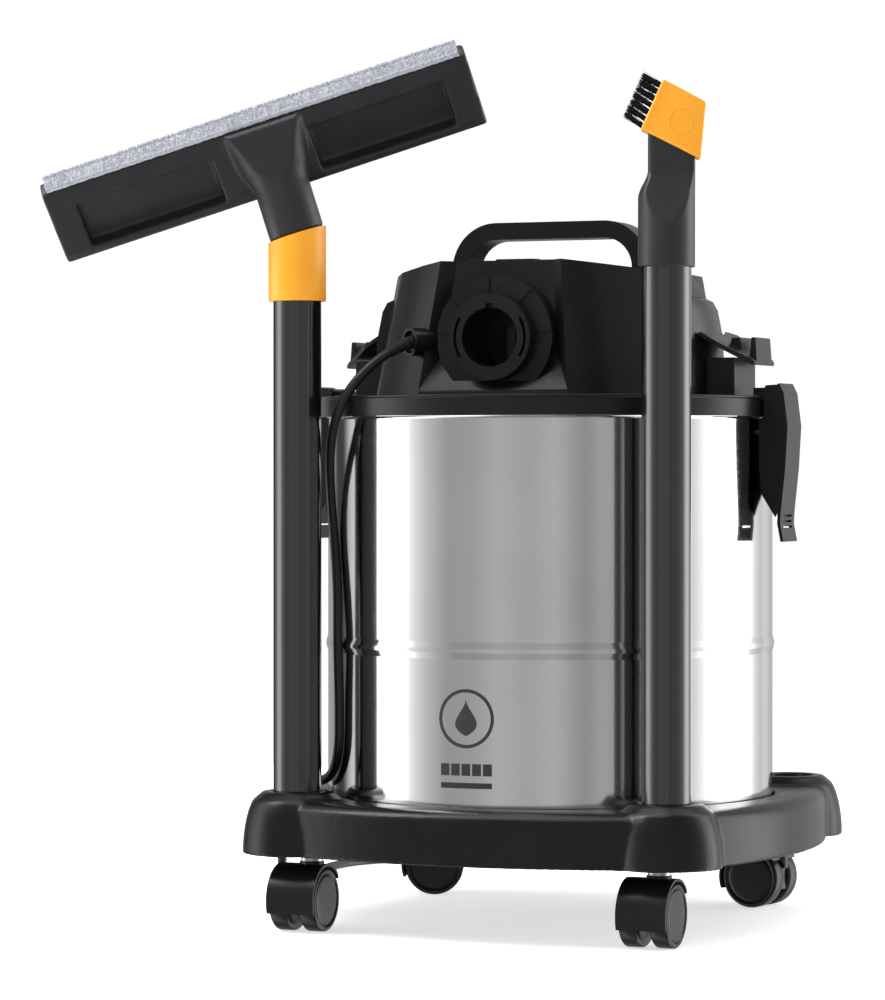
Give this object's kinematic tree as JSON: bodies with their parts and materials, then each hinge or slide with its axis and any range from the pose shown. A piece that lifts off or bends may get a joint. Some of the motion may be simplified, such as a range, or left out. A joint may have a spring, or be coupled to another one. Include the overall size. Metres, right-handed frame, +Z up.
{
  "type": "shop vacuum",
  "caption": "Wet and dry shop vacuum: steel drum on a caster dolly with a latched lift-off motor head, parked wands, floor nozzle, crevice tool, brush and coiled cord.",
  "frame": {"origin": "on the floor, under the drum's axis", "axes": "+Z up along the drum's axis, -Y towards the side with the hose inlet, X to the latches"},
  "size_m": [0.5133, 0.7082, 0.646],
  "materials": {
    "black_plastic": "satin moulded black",
    "gloss_black": "polished black tube",
    "charcoal_plastic": "fine grained charcoal",
    "amber_plastic": "satin amber",
    "stainless": "polished stainless with a faint vertical sheen",
    "zinc_steel": "zinc plated",
    "motor_metal": "cast and machined",
    "felt": "short grey bristle",
    "filter_cloth": "woven filter cloth",
    "rubber": "soft seal",
    "bristle_black": "nylon bristle",
    "cord_black": "satin cord sheath",
    "plug_pin": "plated pin"
  },
  "bodies": {
    "base": {"dolly_base": "black_plastic", "wand_sockets": "black_plastic", "drum_tray": "charcoal_plastic", "dolly_screws": "zinc_steel", "tank_drum": "stainless", "caster_stems": "zinc_steel", "cord_lower": "cord_black", "cord_coil": "cord_black", "cord_tie": "rubber", "plug_body": "cord_black", "plug_pins": "plug_pin"},
    "head": {"head_flange": "black_plastic", "tank_gasket": "rubber", "motor_plate": "zinc_steel", "fan_housing": "charcoal_plastic", "motor": "motor_metal", "head_shell": "black_plastic", "head_screws": "zinc_steel", "inlet_collar": "black_plastic", "blower_port": "black_plastic", "carry_handle": "black_plastic", "switch_bezel": "black_plastic", "cord_gland": "black_plastic", "cord_wing_left": "black_plastic", "cord_wing_right": "black_plastic", "filter_cage": "charcoal_plastic", "filter_sleeve": "filter_cloth", "filter_clamp": "rubber", "cord_upper": "cord_black"},
    "switch": {"switch_rocker": "amber_plastic"},
    "fan": {"motor_shaft": "zinc_steel", "impeller": "motor_metal"},
    "float": {"float_cup": "amber_plastic"},
    "latch_l": {"latch_left": "black_plastic"},
    "latch_r": {"latch_right": "black_plastic"},
    "wand_l": {"wand_tube_left": "gloss_black", "elbow_cuff": "amber_plastic"},
    "floor_nozzle": {"nozzle_body": "charcoal_plastic", "nozzle_sole": "charcoal_plastic", "nozzle_bristles": "felt"},
    "wand_r": {"wand_tube_right": "gloss_black"},
    "crevice": {"crevice_tool": "charcoal_plastic"},
    "dust_brush": {"brush_head": "amber_plastic", "brush_bristles": "bristle_black"},
    "caster_fl": {"caster_hood_fl": "black_plastic", "caster_axle_fl": "zinc_steel"},
    "wheel_fl_l": {"wheel_fl_left": "black_plastic"},
    "wheel_fl_r": {"wheel_fl_right": "black_plastic"},
    "caster_fr": {"caster_hood_fr": "black_plastic", "caster_axle_fr": "zinc_steel"},
    "wheel_fr_l": {"wheel_fr_left": "black_plastic"},
    "wheel_fr_r": {"wheel_fr_right": "black_plastic"},
    "caster_br": {"caster_hood_br": "black_plastic", "caster_axle_br": "zinc_steel"},
    "wheel_br_l": {"wheel_br_left": "black_plastic"},
    "wheel_br_r": {"wheel_br_right": "black_plastic"},
    "caster_bl": {"caster_hood_bl": "black_plastic", "caster_axle_bl": "zinc_steel"},
    "wheel_bl_l": {"wheel_bl_left": "black_plastic"},
    "wheel_bl_r": {"wheel_bl_right": "black_plastic"}
  },
  "joints": [
    {"name": "head_lift", "type": "slide", "parent": "base", "child": "head", "axis": [0, 0, 1], "range_m": [0, 0.075]},
    {"name": "switch_rock", "type": "hinge", "parent": "head", "child": "switch", "pos_m": [0, -0.052, 0.482], "axis": [1, 0, 0], "range_deg": [-16, 0]},
    {"name": "fan_spin", "type": "hinge", "parent": "head", "child": "fan", "pos_m": [0, 0, 0.4], "axis": [0, 0, 1], "continuous": true},
    {"name": "float_rise", "type": "slide", "parent": "head", "child": "float", "axis": [0, 0, 1], "range_m": [0, 0.03]},
    {"name": "latch_left_swing", "type": "hinge", "parent": "head", "child": "latch_l", "pos_m": [-0.176, 0, 0.391], "axis": [0, 1, 0], "range_deg": [0, 100]},
    {"name": "latch_right_swing", "type": "hinge", "parent": "head", "child": "latch_r", "pos_m": [0.176, 0, 0.391], "axis": [0, -1, 0], "range_deg": [0, 100]},
    {"name": "wand_left_lift", "type": "slide", "parent": "base", "child": "wand_l", "axis": [0, 0, 1], "range_m": [0, 0.12]},
    {"name": "floor_nozzle_turn", "type": "hinge", "parent": "wand_l", "child": "floor_nozzle", "pos_m": [-0.142, -0.142, 0.505], "axis": [-0.2807, -0.1078, 0.9537], "range_deg": [-60, 60]},
    {"name": "wand_right_lift", "type": "slide", "parent": "base", "child": "wand_r", "axis": [0, 0, 1], "range_m": [0, 0.12]},
    {"name": "crevice_pull", "type": "slide", "parent": "wand_r", "child": "crevice", "axis": [0, 0, 1], "range_m": [0, 0.035]},
    {"name": "brush_pull", "type": "slide", "parent": "crevice", "child": "dust_brush", "axis": [0, 0, 1], "range_m": [0, 0.03]},
    {"name": "caster_fl_swivel", "type": "hinge", "parent": "base", "child": "caster_fl", "pos_m": [-0.134, -0.134, 0.045], "axis": [0, 0, 1], "continuous": true},
    {"name": "wheel_fl_left_roll", "type": "hinge", "parent": "caster_fl", "child": "wheel_fl_l", "pos_m": [-0.134, -0.148, 0.023], "axis": [1, 0, 0], "continuous": true},
    {"name": "wheel_fl_right_roll", "type": "hinge", "parent": "caster_fl", "child": "wheel_fl_r", "pos_m": [-0.134, -0.148, 0.023], "axis": [1, 0, 0], "continuous": true},
    {"name": "caster_fr_swivel", "type": "hinge", "parent": "base", "child": "caster_fr", "pos_m": [0.134, -0.134, 0.045], "axis": [0, 0, 1], "continuous": true},
    {"name": "wheel_fr_left_roll", "type": "hinge", "parent": "caster_fr", "child": "wheel_fr_l", "pos_m": [0.134, -0.148, 0.023], "axis": [1, 0, 0], "continuous": true},
    {"name": "wheel_fr_right_roll", "type": "hinge", "parent": "caster_fr", "child": "wheel_fr_r", "pos_m": [0.134, -0.148, 0.023], "axis": [1, 0, 0], "continuous": true},
    {"name": "caster_br_swivel", "type": "hinge", "parent": "base", "child": "caster_br", "pos_m": [0.134, 0.134, 0.045], "axis": [0, 0, 1], "continuous": true},
    {"name": "wheel_br_left_roll", "type": "hinge", "parent": "caster_br", "child": "wheel_br_l", "pos_m": [0.12017, 0.13619, 0.023], "axis": [-0.1564, -0.9877, 0], "continuous": true},
    {"name": "wheel_br_right_roll", "type": "hinge", "parent": "caster_br", "child": "wheel_br_r", "pos_m": [0.12017, 0.13619, 0.023], "axis": [-0.1564, -0.9877, 0], "continuous": true},
    {"name": "caster_bl_swivel", "type": "hinge", "parent": "base", "child": "caster_bl", "pos_m": [-0.134, 0.134, 0.045], "axis": [0, 0, 1], "continuous": true},
    {"name": "wheel_bl_left_roll", "type": "hinge", "parent": "caster_bl", "child": "wheel_bl_l", "pos_m": [-0.14707, 0.12898, 0.023], "axis": [0.3584, -0.9336, 0], "continuous": true},
    {"name": "wheel_bl_right_roll", "type": "hinge", "parent": "caster_bl", "child": "wheel_bl_r", "pos_m": [-0.14707, 0.12898, 0.023], "axis": [0.3584, -0.9336, 0], "continuous": true}
  ]
}
